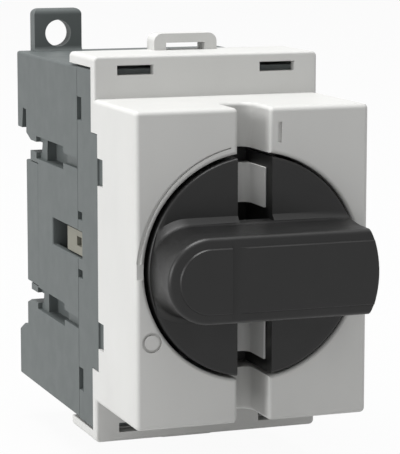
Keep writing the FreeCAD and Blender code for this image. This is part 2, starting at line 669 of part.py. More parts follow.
def rear_housing():
    """Contact housing: pole chambers, wire entries, side grooves, rail claw, latch guide and screw lugs."""
    block = Piece("rear_block")
    block.pad("x", sides, rear_outline())
    block.fillet(S.housing_edge, {"x": sides, "z": both(housing_half)})
    lug_front = S.foot_depth - S.lug_sheet
    hole_level = S.lug_reach - S.lug_width / 2 - S.seat_gap
    lugs = []
    holes = []
    for side in (1, -1):
        lugs.append(rectangle(around(-side * S.lug_x, S.lug_width),
                              mirrored(side, housing_half - SINK, S.lug_reach)))
        holes.append((-side * S.lug_x, side * hole_level, S.lug_hole_radius))
    block.pad("y", (lug_front, S.foot_depth), *lugs)
    block.fillet(S.lug_corner, {"z": both(S.lug_reach), "x": Between(-half_width, half_width),
                                "y": Between(lug_front, S.foot_depth)})
    block.fillet(S.lug_root, {"y": [lug_front], "z": both(housing_half)})
    block.pocket("y", (lug_front - OVER, S.foot_depth + OVER), *holes)

    tools = []
    tools.append(box("rear_arm_room", both(cavity_half), (seam - OVER, -S.window_rear),
                     both(S.arm_half + S.running_gap)))
    tools.append(box("crossbar_room", both(S.crossbar_half + S.running_gap),
                     (seam - OVER, crossbar_rear + S.travel + S.running_gap),
                     both(S.bar_half + S.running_gap)))
    tools.append(box("rear_window", cut_sides, (seam - OVER, -S.window_rear), both(S.window_gap / 2)))
    drum_room_rear = -S.drum_rear + S.running_gap
    tools.append(cylinder("drum_room", "y", S.drum_radius + S.running_gap, drum_room_rear - seam + OVER,
                          ZERO, seam - OVER, ZERO))
    post_room_rear = crossbar_front + S.travel + S.running_gap
    tools.append(cylinder("post_room", "y", S.post_radius + S.running_gap, post_room_rear - seam + OVER,
                          ZERO, seam - OVER, ZERO))
    for across in (1, -1):
        for side in (1, -1):
            level = side * S.groove_level
            deep = mirrored(across, half_width - S.groove_sink, half_width + OVER)
            shallow = mirrored(across, half_width - S.groove_lead_sink, half_width + OVER)
            tools.append(box("rear_notch", deep, (-S.rear_notch_depth, OVER),
                             around(level, S.rear_notch_gap)))
            tools.append(box("groove_pocket", deep, (-S.groove_pocket_front, -S.groove_pocket_rear),
                             around(level, S.groove_pocket_gap)))
            tools.append(box("groove_neck", shallow,
                             (-S.groove_pocket_rear - OVER, -S.rear_notch_depth + OVER),
                             around(level, S.groove_pocket_gap)))
            tools.append(box("groove_lead", shallow, (-S.groove_lead_front, -S.groove_pocket_front + OVER),
                             around(level, S.groove_lead_gap)))
    entry_front = -S.tang_front
    for pole, column in POLES:
        x = column * S.pole_pitch
        tools.append(box("pole_chamber", around(x, S.chamber_width), (seam - OVER, -S.chamber_rear),
                         both(S.chamber_half)))
        for end, side in ENDS:
            z = side * S.clamp_level
            tools.append(box("clamp_room", around(x, S.clamp_width + 2 * S.terminal_gap),
                             (seam - OVER, -S.clamp_rear + S.terminal_gap),
                             around(z, S.clamp_length + 2 * S.terminal_gap)))
            tools.append(box("tang_room", around(x, S.tang_width + 2 * S.seat_gap),
                             (seam - OVER, entry_front + S.bar_sheet),
                             mirrored(side, S.chamber_half - OVER, S.clamp_level)))
            tools.append(box("wire_entry", around(x, S.clamp_width - 2 * S.clamp_side),
                             (entry_front - S.terminal_gap, -S.clamp_rear - S.clamp_rear_wall),
                             mirrored(side, S.clamp_level, housing_half + OVER)))
    tools.extend(latch_guide())
    return cut("rear_housing_cut", block.body, *tools)


def latch_guide():
    """The room in the lower foot where the rail latch slides, with its undercut."""
    gap = S.seat_gap * 2
    low = -housing_half - OVER
    top = -rail_half + OVER
    deep = box("latch_undercut", both(S.latch_flange / 2 + gap),
               (latch_front - gap, latch_front + S.latch_flange_depth + gap), (low, top))
    open_side = box("latch_slot", both(S.latch_width / 2 + gap),
                    (latch_front, S.foot_depth + OVER), (low, top))
    room = fuse("latch_room", deep, open_side)
    post = box("latch_post", both(S.latch_window_width / 2 - S.running_gap),
               (latch_front - 2 * gap, S.latch_rear),
               (-S.latch_post, -S.latch_post + S.latch_post_height))
    return [cut("latch_room_cut", room, post)]


def base_cap():
    """Block across the rear between the two notches, its rear face on the rail."""
    cap = Piece("base_cap_block")
    cap.pad("y", (-S.cap_depth, ZERO), rectangle(sides, (-S.cap_bottom, S.cap_top)))
    return cap.body


def grip():
    """Bar of the handle: square end to the right, overhanging round end with the thumb pad to the left."""
    tip = front - S.grip_height
    foot = disc_front + S.seat_gap
    half_section = [
        (S.grip_face_half, tip),
        (S.grip_step_half, tip + S.grip_step),
        (S.grip_ridge_half, tip + S.grip_ridge_sink),
        (S.grip_waist_half, disc_front - S.grip_waist_rise),
        (S.grip_flare_half, disc_front - S.grip_flare_rise),
        (S.grip_foot_half, foot),
    ]
    section = [(y, half) for half, y in half_section]
    section += [(y, -half) for half, y in reversed(half_section)]
    outside = S.disc_radius + 2 * OVER
    # The edges that run round the grip, without those of its square end
    lengthwise = Between(-outside, outside - NEAR)
    bar = Piece("grip_bar")
    bar.pad("x", (-S.grip_round_x, outside), section)
    bar.ring("Revolution", -S.grip_round_x, 360, [(ZERO, tip)] + half_section + [(ZERO, foot)])
    bar.fillet(S.grip_ridge_round, {"y": [tip + S.grip_ridge_sink], "x": lengthwise})
    bar.fillet(S.grip_waist_round, {"y": [disc_front - S.grip_waist_rise], "x": lengthwise})
    bar.fillet(S.grip_flare_round, {"y": [disc_front - S.grip_flare_rise], "x": lengthwise})
    # Both ends follow circles round the shaft: the square end leans back, the round end overhangs
    past = (outside + S.grip_round_x, tip - OVER)
    past_foot = (outside + S.grip_round_x, foot + OVER)
    bar.ring("Groove", ZERO, 180, [
        (S.grip_end_front, tip - OVER), (S.grip_end_front, tip), (S.grip_end_foot, foot),
        (S.grip_end_foot, foot + OVER), past_foot, past,
    ])
    bar.ring("Groove", ZERO, 180, [
        (-S.grip_tip_reach, tip - OVER), (-S.grip_tip_reach, tip + S.grip_ridge_sink),
        (-S.grip_end_foot, foot), (-S.grip_end_foot, foot + OVER),
        (-past_foot[0], past_foot[1]), (-past[0], past[1]),
    ])
    bar.fillet(S.grip_face_round, {"y": [tip]})
    bar.pocket("z", both(S.grip_foot_half + OVER), [
        (-S.pad_step_x, tip - OVER),
        (-S.pad_step_x, tip + S.pad_step),
        (-S.pad_ramp_x, tip),
        (-S.pad_ramp_x, tip - OVER),
    ])
    return bar.body


def handle():
    """Disc and grip in one moulding, with the padlock slot behind the grip."""
    disc = Piece("handle_disc")
    disc.pad("y", (disc_front, disc_back), (ZERO, ZERO, S.disc_radius))
    disc.fillet(S.disc_edge, {"r": [S.disc_radius], "y": [disc_front]})
    hub_reach = recess_back + S.running_gap
    hub = cylinder("handle_hub", "y", S.shaft_hole_radius - S.running_gap, hub_reach - disc_back + SINK,
                   ZERO, disc_back - SINK, ZERO)
    solid = fuse("handle_solid", disc.body, grip(), hub)
    slot = box("handle_slot", both(S.slot_width / 2), (disc_front - OVER, slot_floor),
               both(S.disc_radius + OVER))
    roof = box("handle_roof", both(S.slot_width / 2 + OVER), (disc_front - 2 * OVER, front + S.passage_roof),
               both(S.passage_half))
    open_slot = cut("handle_open_slot", slot, roof)
    tools = [open_slot]
    for side in (1, -1):
        tools.append(box("liner_seat", both(S.slot_width / 2 + S.liner_foot),
                         (slot_floor - S.liner_foot_depth - S.seat_gap, slot_floor),
                         mirrored(side, S.liner_low - S.seat_gap, S.liner_high + S.seat_gap)))
    bore = both(S.shaft_square / 2)
    tools.append(box("handle_bore", bore, (-S.shaft_front, hub_reach + OVER), bore))
    return cut("handle_cut", solid, *tools)


def padlock_liner(name, side):
    """U-shaped liner for the shackle, its feet seated under the walls of the slot."""
    outside = S.slot_width / 2 - S.seat_gap
    inside = outside - S.liner_wall
    edge = front + S.liner_front
    foot_front = slot_floor - S.liner_foot_depth
    half = [
        (inside, channel_floor), (inside, edge), (outside, edge),
        (outside, foot_front), (outside + S.liner_foot, foot_front), (outside + S.liner_foot, slot_floor),
    ]
    liner = Piece(name)
    liner.pad("z", mirrored(side, S.liner_low, S.liner_high),
              half + [(-x, y) for x, y in reversed(half)])
    liner.fillet(S.liner_round, {"x": both(inside), "y": [channel_floor]})
    liner.fillet(S.liner_edge, {"y": [edge]})
    return liner.body


def drive_shaft():
    """Square in the handle and the spring driver, round in the cam drum."""
    square = box("shaft_square_part", both(S.shaft_square / 2), (-S.shaft_front, driver_back),
                 both(S.shaft_square / 2))
    journal = cylinder("shaft_journal", "y", S.journal_radius, -S.shaft_rear - driver_back,
                       ZERO, driver_back, ZERO)
    return fuse("shaft_whole", square, journal)


def tab(name, y, foot):
    """A tab that stands between the legs of the snap spring."""
    return box(name, around(ZERO, S.tab_width), y, (foot, S.tab_reach))


def spring_driver():
    """Plate on the square of the shaft, whose tab winds the snap spring."""
    y = (driver_back - S.driver_sheet, driver_back)
    plate = cylinder("driver_plate", "y", S.driver_radius, S.driver_sheet, ZERO, y[0], ZERO)
    whole = fuse("driver_whole", plate, tab("driver_tab", y, S.driver_radius - SINK))
    hole = box("driver_hole", both(S.shaft_square / 2), (y[0] - OVER, y[1] + OVER), both(S.shaft_square / 2))
    return cut("driver_cut", whole, hole)


def snap_spring():
    """Torsion spring round the neck of the cam drum, its two legs beside the tabs."""
    wire = (S.spring_wire - S.seat_gap).value
    pitch = 2 * S.spring_wire.value
    radius = S.spring_radius.value
    start = drum_front.value - pitch - wire - S.seat_gap.value
    # The legs stand just clear of the tabs, so the coil is a little short of a whole turn
    leg_x = S.tab_width.value / 2 + wire + S.seat_gap.value
    half_opening = math.asin(leg_x / radius)
    turns = 1 - half_opening / math.pi
    helix = Part.makeHelix(pitch, pitch * turns, radius)
    profile = Part.Wire(Part.makeCircle(wire, FreeCAD.Vector(radius, 0, 0), FreeCAD.Vector(0, 1, 0)))
    coil = Part.Wire(helix).makePipeShell([profile], True, True)
    to_top = FreeCAD.Rotation(FreeCAD.Vector(0, 1, 0), math.degrees(half_opening) - 90)
    coil.Placement = FreeCAD.Placement(FreeCAD.Vector(0, start, 0), to_top * TURNS["y"])
    leg_foot = math.sqrt(radius * radius - leg_x * leg_x)
    legs = []
    for x, y in ((leg_x, start), (-leg_x, start + pitch * turns)):
        foot = FreeCAD.Vector(x, y, leg_foot - wire / 2)
        legs.append(Part.makeCylinder(wire, S.tab_reach.value - foot.z, foot, FreeCAD.Vector(0, 0, 1)))
    spring = doc.addObject("Part::Feature", "snap_spring_coil")
    spring.Shape = coil.fuse(legs)
    return spring


def cam_slot(number):
    """Helical slot that pushes one pin of the carriage along as the drum turns."""
    radius = (S.drum_bore + S.drum_radius).value / 2
    rise = S.travel.value / (math.pi / 2)
    slope = math.atan(rise / radius)
    run_past = (S.pin_radius + S.running_gap).value / radius
    sweep = math.pi / 2 + 2 * run_past
    half = (S.pin_radius + S.running_gap).value / math.cos(slope)
    low = (S.drum_bore - OVER).value
    high = (S.drum_radius + OVER).value
    begin = -S.pin_depth.value - rise * run_past
    pitch = rise * 2 * math.pi
    helix = Part.makeHelix(pitch, rise * sweep, radius, 0, True)
    corners = [(low, -half), (high, -half), (high, half), (low, half), (low, -half)]
    profile = Part.makePolygon([FreeCAD.Vector(r, 0, z) for r, z in corners])
    slot = doc.addObject("Part::Feature", f"cam_slot_{number}")
    slot.Shape = Part.Wire(helix).makePipeShell([profile], True, True)
    # The helix starts above the middle of the shaft, one run past the pin
    start = FreeCAD.Rotation(FreeCAD.Vector(0, 1, 0), math.degrees(run_past) + 180 * number)
    upright = FreeCAD.Rotation(FreeCAD.Vector(0, 1, 0), -90)
    slot.Placement = FreeCAD.Placement(FreeCAD.Vector(0, begin, 0), start * upright * TURNS["y"])
    return slot


def cam_drum():
    """Cup on the shaft with two helical slots, which turns a quarter turn into the carriage's travel."""
    disc_rear = drum_front + S.drum_disc
    disc = cylinder("drum_disc_part", "y", S.collar_bore - S.drum_fit, S.drum_disc, ZERO, drum_front, ZERO)
    tube = cylinder("drum_tube", "y", S.drum_radius, -S.drum_rear - disc_rear + SINK, ZERO,
                    disc_rear - SINK, ZERO)
    neck = cylinder("drum_neck_part", "y", S.drum_neck, drum_front - neck_front + SINK,
                    ZERO, neck_front, ZERO)
    drum_tab = tab("drum_tab", (neck_front, drum_front + SINK), S.spring_radius + S.spring_wire + S.seat_gap)
    solid = fuse("drum_solid", disc, tube, neck, drum_tab)
    bore = cylinder("drum_cup", "y", S.drum_bore, -S.drum_rear - disc_rear + OVER, ZERO, disc_rear, ZERO)
    shaft_bore = cylinder("drum_shaft_bore", "y", S.journal_radius + S.drum_fit, S.drum_disc * 3 + OVER, ZERO,
                          neck_front - OVER, ZERO)
    return cut("drum_cut", solid, bore, shaft_bore, cam_slot(0), cam_slot(1))


def shaft_circlip():
    """Open ring that holds the drum on the shaft."""
    y = -S.drum_front + S.drum_disc + S.seat_gap
    ring = cylinder("clip_ring", "y", S.clip_radius, S.clip_sheet, ZERO, y, ZERO)
    bore = cylinder("clip_bore", "y", S.journal_radius, S.clip_sheet + 2 * OVER, ZERO, y - OVER, ZERO)
    mouth = box("clip_mouth", both(S.journal_radius / 2), (y - OVER, y + S.clip_sheet + OVER),
                (-S.clip_radius - OVER, ZERO))
    return cut("clip_cut", ring, bore, mouth)


def contact_carriage():
    """Beige slider: crossbar with the blade windows, arms beside the side windows, post with two pins."""
    y = (crossbar_front, crossbar_rear)
    bar = box("carriage_bar", both(S.crossbar_half), y, both(S.bar_half))
    arms = []
    for across in (1, -1):
        x = mirrored(across, S.arm_inner, S.arm_outer)
        arms.append(box("carriage_arm", x, (-S.window_front, -S.arm_rear), both(S.arm_half)))
    post_front = -S.pin_depth - S.pin_radius - S.running_gap
    post = cylinder("carriage_post", "y", S.post_radius, crossbar_front - post_front, ZERO, post_front, ZERO)
    pins = cylinder("carriage_pins", "z", S.pin_radius, 2 * S.pin_reach, ZERO, -S.pin_depth, -S.pin_reach)
    solid = fuse("carriage_solid", bar, post, pins, *arms)
    tools = [cylinder("carriage_bore", "y", S.post_bore, S.pin_radius * 3, ZERO, post_front - OVER, ZERO)]
    for pole, column in POLES:
        tools.append(box("blade_window", around(column * S.pole_pitch, S.blade_width + 2 * S.seat_gap),
                         (leaf_front, blade_front + S.blade_sheet), both(S.bar_half + OVER)))
    for across in (1, -1):
        x = mirrored(across, S.arm_outer - S.cover_wall, S.arm_outer + OVER)
        tools.append(box("carriage_eye", x, (-S.window_front - OVER, -S.window_front + S.eye_depth),
                         around(S.eye_level, S.eye_height)))
    return cut("carriage_cut", solid, *tools)


def bridge(name, column):
    """Moving contact of one pole: a blade with a tip at each end."""
    x = around(column * S.pole_pitch, S.blade_width)
    blade = box(name + "_blade", x, (blade_front, blade_front + S.blade_sheet), both(S.blade_half))
    tips = []
    for side in (1, -1):
        y = blade_front + S.blade_sheet
        tips.append(box(name + "_tip", x, (y, y + S.tip_height), mirrored(side, S.tip_low, S.tip_high)))
    return fuse(name + "_whole", blade, *tips)


def leaf_spring(name, column):
    """Bowed leaf between the carriage and the moving contact."""
    rise = blade_front - leaf_front
    chord = S.leaf_half
    # Radius of the arc through the crown and the two ends
    arc = (chord * chord + rise * rise) / (2 * rise)
    x = around(column * S.pole_pitch, S.blade_width - 4 * S.seat_gap)
    outside = cylinder(name + "_outside", "x", arc, x[1] - x[0], x[0], leaf_front + arc, ZERO)
    inside = cylinder(name + "_inside", "x", arc - S.leaf_sheet, x[1] - x[0] + 2 * OVER, x[0] - OVER,
                      leaf_front + arc, ZERO)
    ring = cut(name + "_ring", outside, inside)
    span = box(name + "_span", (x[0] - OVER, x[1] + OVER), (leaf_front - OVER, blade_front), both(chord))
    return common(name + "_arc", ring, span)


def fixed_contact(name, column, side):
    """Copper strip from the contact tip, round the chamber wall, to the terminal."""
    x = column * S.pole_pitch
    bar_rear = -S.bar_rear
    bar_front = bar_rear - S.bar_sheet
    tang_front = -S.tang_front
    rise = S.chamber_half - S.bar_sheet - 2 * S.seat_gap
    strip = Piece(name + "_strip")
    strip.pad("x", around(x, S.tang_width), [
        (bar_rear, side * S.bar_inner),
        (bar_rear, side * (rise + S.bar_sheet)),
        (tang_front + S.bar_sheet, side * (rise + S.bar_sheet)),
        (tang_front + S.bar_sheet, side * S.bar_outer),
        (tang_front, side * S.bar_outer),
        (tang_front, side * rise),
        (bar_front, side * rise),
        (bar_front, side * S.bar_inner),
    ])
    tip = box(name + "_tip", around(x, S.blade_width), (bar_front - S.tip_height, bar_front),
              mirrored(side, S.tip_low, S.tip_high))
    return fuse(name + "_whole", strip.body, tip)


def box_clamp(name, column, side):
    """Steel box round the terminal end, threaded for the screw, shown open."""
    x = column * S.pole_pitch
    z = side * S.clamp_level
    y = (-S.clamp_front, -S.clamp_rear)
    block = box(name + "_block", around(x, S.clamp_width), y, around(z, S.clamp_length))
    room = box(name + "_room", around(x, S.clamp_width - 2 * S.clamp_side),
               (y[0] + S.clamp_front_wall, y[1] - S.clamp_rear_wall), around(z, S.clamp_length + 2 * OVER))
    hole = cylinder(name + "_thread", "y", S.screw_radius + S.screw_fit, S.clamp_front_wall + 2 * OVER,
                    x, y[0] - OVER, z)
    return cut(name + "_cut", block, room, hole)


def terminal_screw(name, column, side):
    """Slotted screw, its head under the cover."""
    x = column * S.pole_pitch
    z = side * S.clamp_level
    head_front = -S.screw_seat - S.screw_head
    head = cylinder(name + "_head", "y", S.screw_head_radius, S.screw_head, x, head_front, z)
    length = S.screw_seat - S.tang_front - S.screw_tip_gap
    shank = cylinder(name + "_shank", "y", S.screw_radius, length + SINK, x, -S.screw_seat - SINK, z)
    slot = box(name + "_slot", around(x, 3 * S.screw_head_radius),
               (head_front - OVER, head_front + S.screw_head / 2), around(z, S.screw_slot))
    return cut(name + "_cut", fuse(name + "_solid", head, shank), slot)


def rail_latch():
    """Sliding latch that hooks behind the lower edge of the rail; its tail is pulled down to let go."""
    hook_top = -rail_half + S.latch_hook
    y = (latch_front, S.latch_rear)
    bar = box("latch_bar", both(S.latch_width / 2), y, (-S.latch_tail, hook_top))
    guided = box("latch_guided", both(S.latch_flange / 2), (latch_front, latch_front + S.latch_flange_depth),
                 (-S.latch_guide_low, -rail_half - S.latch_hook))
    whole = fuse("latch_whole", bar, guided)
    window = box("latch_window", both(S.latch_window_width / 2), (y[0] - OVER, y[1] + OVER),
                 (-S.latch_window_bottom, -S.latch_window_top))
    pull = box("latch_pull", both(S.latch_window_width / 2), (y[0] - OVER, y[1] + OVER),
               (-S.latch_pull_low, -S.latch_pull_low + S.latch_pull_height))
    return cut("latch_cut", whole, window, pull)


def latch_spring():
    """Coil spring between the post of the housing and the top of the latch's window."""
    gap = S.seat_gap.value
    low = (-S.latch_post + S.latch_post_height).value + gap
    high = -S.latch_window_top.value - gap
    wire = S.latch_wire.value
    height = high - low - 2 * wire
    radius = S.latch_coil.value
    helix = Part.makeHelix(height / S.latch_coil_turns.value, height, radius)
    profile = Part.Wire(Part.makeCircle(wire, FreeCAD.Vector(radius, 0, 0), FreeCAD.Vector(0, 1, 0)))
    spring = doc.addObject("Part::Feature", "latch_spring_coil")
    spring.Shape = Part.Wire(helix).makePipeShell([profile], True, True)
    middle = (latch_front + S.latch_rear).value / 2
    spring.Placement = FreeCAD.Placement(FreeCAD.Vector(0, middle, low + wire), FreeCAD.Rotation())
    return spring


def check(thing):
    """Stops where a sub-part failed to build."""
    for state in ("Invalid", "Error"):
        if state in thing.State:
            raise RuntimeError(f"{thing.Label} is {state}")


keep(front_cover(), "front_cover")
keep(front_housing(), "front_housing")
keep(rear_housing(), "rear_housing")
keep(base_cap(), "base_cap")
keep(handle(), "handle")
keep(padlock_liner("upper_liner", 1), "padlock_liner_upper")
keep(padlock_liner("lower_liner", -1), "padlock_liner_lower")
keep(drive_shaft(), "drive_shaft")
keep(spring_driver(), "spring_driver")
keep(snap_spring(), "snap_spring")
keep(cam_drum(), "cam_drum")
keep(shaft_circlip(), "shaft_circlip")
keep(contact_carriage(), "contact_carriage")
for pole, column in POLES:
    keep(bridge(f"bridge_{pole}_part", column), f"bridge_{pole}")
    keep(leaf_spring(f"leaf_{pole}_part", column), f"bridge_spring_{pole}")
    for end, side in ENDS:
        keep(fixed_contact(f"{end}_{pole}_contact", column, side), f"{end}_contact_{pole}")
        keep(box_clamp(f"{end}_{pole}_clamp", column, side), f"{end}_clamp_{pole}")
        keep(terminal_screw(f"{end}_{pole}_screw", column, side), f"{end}_screw_{pole}")
keep(rail_latch(), "rail_latch")
keep(latch_spring(), "latch_spring")

doc.recompute()
for thing in doc.Objects:
    check(thing)
os.makedirs("parts", exist_ok=True)
for label, thing in PIECES:
    shape = thing.Shape
    if shape.isNull() or not shape.isValid() or not shape.Solids:
        raise RuntimeError(f"{label} has no valid solid")
    print(label, len(shape.Solids), round(shape.Volume, 2))
    shape.exportStep(f"parts/{label}.step")
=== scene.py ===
import json
import math

import bpy
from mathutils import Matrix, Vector

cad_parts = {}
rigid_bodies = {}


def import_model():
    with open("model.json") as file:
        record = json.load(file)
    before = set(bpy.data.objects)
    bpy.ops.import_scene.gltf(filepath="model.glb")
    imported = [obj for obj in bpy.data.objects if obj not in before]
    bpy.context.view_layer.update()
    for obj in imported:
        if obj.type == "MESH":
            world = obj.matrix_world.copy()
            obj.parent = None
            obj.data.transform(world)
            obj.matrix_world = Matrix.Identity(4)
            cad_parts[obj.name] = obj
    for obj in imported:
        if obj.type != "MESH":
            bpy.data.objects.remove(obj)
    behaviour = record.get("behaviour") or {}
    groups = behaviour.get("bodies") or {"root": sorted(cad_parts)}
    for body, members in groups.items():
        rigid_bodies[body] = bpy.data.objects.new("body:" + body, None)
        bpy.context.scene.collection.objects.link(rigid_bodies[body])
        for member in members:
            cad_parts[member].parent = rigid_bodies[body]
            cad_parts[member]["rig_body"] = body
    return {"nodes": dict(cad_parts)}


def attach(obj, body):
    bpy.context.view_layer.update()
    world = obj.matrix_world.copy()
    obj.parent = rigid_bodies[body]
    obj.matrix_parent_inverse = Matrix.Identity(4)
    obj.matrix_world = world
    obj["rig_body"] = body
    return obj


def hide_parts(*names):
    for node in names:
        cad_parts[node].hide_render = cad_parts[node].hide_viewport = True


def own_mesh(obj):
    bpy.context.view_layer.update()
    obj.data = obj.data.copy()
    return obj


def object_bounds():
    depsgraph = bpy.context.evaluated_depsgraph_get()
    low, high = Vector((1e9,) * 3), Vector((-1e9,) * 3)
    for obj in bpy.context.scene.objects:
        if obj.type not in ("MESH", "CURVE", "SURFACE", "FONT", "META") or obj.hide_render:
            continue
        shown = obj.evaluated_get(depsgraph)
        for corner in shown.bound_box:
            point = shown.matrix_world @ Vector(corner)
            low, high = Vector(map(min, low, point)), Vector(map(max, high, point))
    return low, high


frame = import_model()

cad_low, cad_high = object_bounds()

# Lengths are in millimetres and become metres by MM where Blender takes them.
MM = 0.001
POLES = ("left", "centre", "right")
ENDS = ("line", "load")


# Materials

FINISH = "_finish"

FLOW_MARKS = 9           # cells across, as are the next four
SHEEN_MARKS = 3
GRAIN = 0.35
STAINS = 2.5
DRAWN_LINES = 0.5
GRAIN_DEPTH = 0.004
LINE_DEPTH = 0.003
EVEN = (1, 1, 1)


def empty_tree(owner, output_type):
    """The node tree of a material or a world with nothing but its output, and the output's surface."""
    owner.use_nodes = True
    tree = owner.node_tree
    tree.nodes.clear()
    output = tree.nodes.new(output_type)
    return tree, output.inputs["Surface"]


def new_material(slot):
    """A Principled shader for one material slot of the record."""
    material = bpy.data.materials.new(slot + FINISH)
    tree, surface = empty_tree(material, "ShaderNodeOutputMaterial")
    shader = tree.nodes.new("ShaderNodeBsdfPrincipled")
    tree.links.new(shader.outputs["BSDF"], surface)
    place = tree.nodes.new("ShaderNodeTexCoord")
    return material, tree, shader, place.outputs["Object"]


def noise(tree, place, size, detail, stretch=EVEN):
    """Noise whose cells are about one size across."""
    mapping = tree.nodes.new("ShaderNodeMapping")
    mapping.inputs["Scale"].default_value = stretch
    texture = tree.nodes.new("ShaderNodeTexNoise")
    texture.inputs["Scale"].default_value = 1 / (size * MM)
    texture.inputs["Detail"].default_value = detail
    tree.links.new(place, mapping.inputs["Vector"])
    tree.links.new(mapping.outputs["Vector"], texture.inputs["Vector"])
    return texture.outputs["Fac"]


def spread(tree, value, low, high):
    """Carries the middle of a noise, where most of it lies, over to a range of values."""
    ramp = tree.nodes.new("ShaderNodeMapRange")
    ramp.inputs["From Min"].default_value = 0.3
    ramp.inputs["From Max"].default_value = 0.7
    ramp.inputs["To Min"].default_value = low
    ramp.inputs["To Max"].default_value = high
    tree.links.new(value, ramp.inputs["Value"])
    return ramp.outputs["Result"]


def tinted(tree, value, colour, change):
    """The colour, a little darker and lighter from place to place."""
    mix = tree.nodes.new("ShaderNodeMix")
    mix.data_type = "RGBA"
    mix.inputs["A"].default_value = [part * (1 - change) for part in colour] + [1]
    mix.inputs["B"].default_value = [part * (1 + change) for part in colour] + [1]
    tree.links.new(value, mix.inputs["Factor"])
    return mix.outputs["Result"]


def relief(tree, shader, value, depth):
    bump = tree.nodes.new("ShaderNodeBump")
    bump.inputs["Distance"].default_value = depth * MM
    tree.links.new(value, bump.inputs["Height"])
    tree.links.new(bump.outputs["Normal"], shader.inputs["Normal"])


def moulded_plastic(slot, colour, roughness, gloss):
    """Injection moulding: fine even grain from the tool, faint flow marks in colour and roughness."""
    material, tree, shader, place = new_material(slot)
    flow = spread(tree, noise(tree, place, FLOW_MARKS, 2, (1, 1, 0.5)), 0, 1)
    tree.links.new(tinted(tree, flow, colour, 0.02), shader.inputs["Base Color"])
    sheen = spread(tree, noise(tree, place, SHEEN_MARKS, 3), roughness - 0.04, roughness + 0.04)
    tree.links.new(sheen, shader.inputs["Roughness"])
    shader.inputs["Specular IOR Level"].default_value = gloss
    relief(tree, shader, noise(tree, place, GRAIN, 2), GRAIN_DEPTH)
    return material


def drawn_metal(slot, colour, roughness, stretch):
    """Cold-drawn or rolled metal with fine lines along one direction."""
    material, tree, shader, place = new_material(slot)
    shader.inputs["Metallic"].default_value = 1
    lines = noise(tree, place, DRAWN_LINES, 4, stretch)
    stains = spread(tree, noise(tree, place, STAINS, 3), 0, 1)
    tree.links.new(tinted(tree, stains, colour, 0.06), shader.inputs["Base Color"])
    tree.links.new(spread(tree, lines, roughness - 0.08, roughness + 0.08), shader.inputs["Roughness"])
    relief(tree, shader, lines, LINE_DEPTH)
    return material


cover_plastic = moulded_plastic("cover_plastic", (0.62, 0.62, 0.605), 0.5, 0.4)
housing_plastic = moulded_plastic("housing_plastic", (0.106, 0.119, 0.118), 0.52, 0.25)
handle_plastic = moulded_plastic("handle_plastic", (0.009, 0.009, 0.009), 0.41, 0.39)
liner_plastic = moulded_plastic("liner_plastic", (0.66, 0.66, 0.65), 0.5, 0.4)
# The carriage's beige is darkened to the shade it lies in behind the side windows: partly its own colour, partly
# painted shade.
carriage_plastic = moulded_plastic("carriage_plastic", (0.20, 0.195, 0.16), 0.55, 0.35)
latch_plastic = moulded_plastic("latch_plastic", (0.05, 0.052, 0.055), 0.5, 0.4)
copper = drawn_metal("copper", (0.80, 0.42, 0.28), 0.32, (1, 1, 6))
steel = drawn_metal("steel", (0.58, 0.58, 0.56), 0.34, (1, 6, 1))
spring_steel = drawn_metal("spring_steel", (0.50, 0.50, 0.50), 0.28, (6, 6, 1))


# Ways to work a piece

MERGE = 1e-6                         # metres between corners that are one
FLAT_ANGLE = math.radians(0.4)       # facets that meet at less are one face
BEVEL_ANGLE = math.radians(34)       # faces that meet at more get a rounded edge
SHADING_ANGLE = math.radians(40)
BEVEL_SEGMENTS = 2
SHORTEST_EDGE = 4                    # times the width of the rounding
ALIGNED = 0.2                        # least cosine between a rounding and the skin below it


def select_only(piece):
    bpy.ops.object.select_all(action="DESELECT")
    piece.select_set(True)
    bpy.context.view_layer.objects.active = piece


def finish_modifiers(piece):
    select_only(piece)
    for modifier in list(piece.modifiers):
        bpy.ops.object.modifier_apply(modifier=modifier.name)


def merged_copy(node, name):
    """A copy of a frame node whose loose triangles are one closed skin of whole faces."""
    piece = bpy.data.objects.new(name, frame["nodes"][node].data.copy())
    bpy.context.scene.collection.objects.link(piece)
    piece.data.materials.clear()
    select_only(piece)
    if piece.data.has_custom_normals:
        bpy.ops.mesh.customdata_custom_splitnormals_clear()
    bpy.ops.object.mode_set(mode="EDIT")
    bpy.ops.mesh.select_all(action="SELECT")
    bpy.ops.mesh.remove_doubles(threshold=MERGE)
    bpy.ops.mesh.dissolve_limited(angle_limit=FLAT_ANGLE)
    bpy.ops.mesh.vert_connect_concave()
    bpy.ops.object.mode_set(mode="OBJECT")
    return piece


def combine(piece, other, operation):
    """Joins the other piece on or takes it out, and removes it."""
    modifier = piece.modifiers.new("combination", "BOOLEAN")
    modifier.operation = operation
    modifier.solver = "EXACT"
    modifier.object = other
    finish_modifiers(piece)
    bpy.data.objects.remove(other)


def engrave(piece, cutter):
    combine(piece, cutter, "DIFFERENCE")


def sharp_edges(mesh, shortest):
    """The edges at which two faces meet at an angle, apart from those that touch an edge below the shortest."""
    points = mesh.vertices
    curved = set()
    for edge in mesh.edges:
        one, other = edge.vertices
        if (points[one].co - points[other].co).length < shortest:
            curved.update(edge.vertices)
    sides = {}
    for face in mesh.polygons:
        for ends in face.edge_keys:
            sides.setdefault(ends, []).append(face.normal)
    found = set()
    for edge in mesh.edges:
        one, other = sides[edge.key]
        if not curved.intersection(edge.vertices) and one.angle(other, 0) > BEVEL_ANGLE:
            found.add(edge.index)
    return found


def strays(piece, skin, reach):
    """The plain piece's corners at which the rounded piece leaves its skin or turns inside out."""
    mesh = piece.data
    corner = mesh.attributes["corner"].data
    found = set()
    for point in mesh.vertices:
        nearest = skin.closest_point_on_mesh(point.co)[1]
        if (nearest - point.co).length > reach:
            found.add(corner[point.index].value)
    for face in mesh.polygons:
        normal = skin.closest_point_on_mesh(face.center)[2]
        if face.area > reach * reach and normal.dot(face.normal) < ALIGNED:
            found.update(corner[index].value for index in face.vertices)
    return found


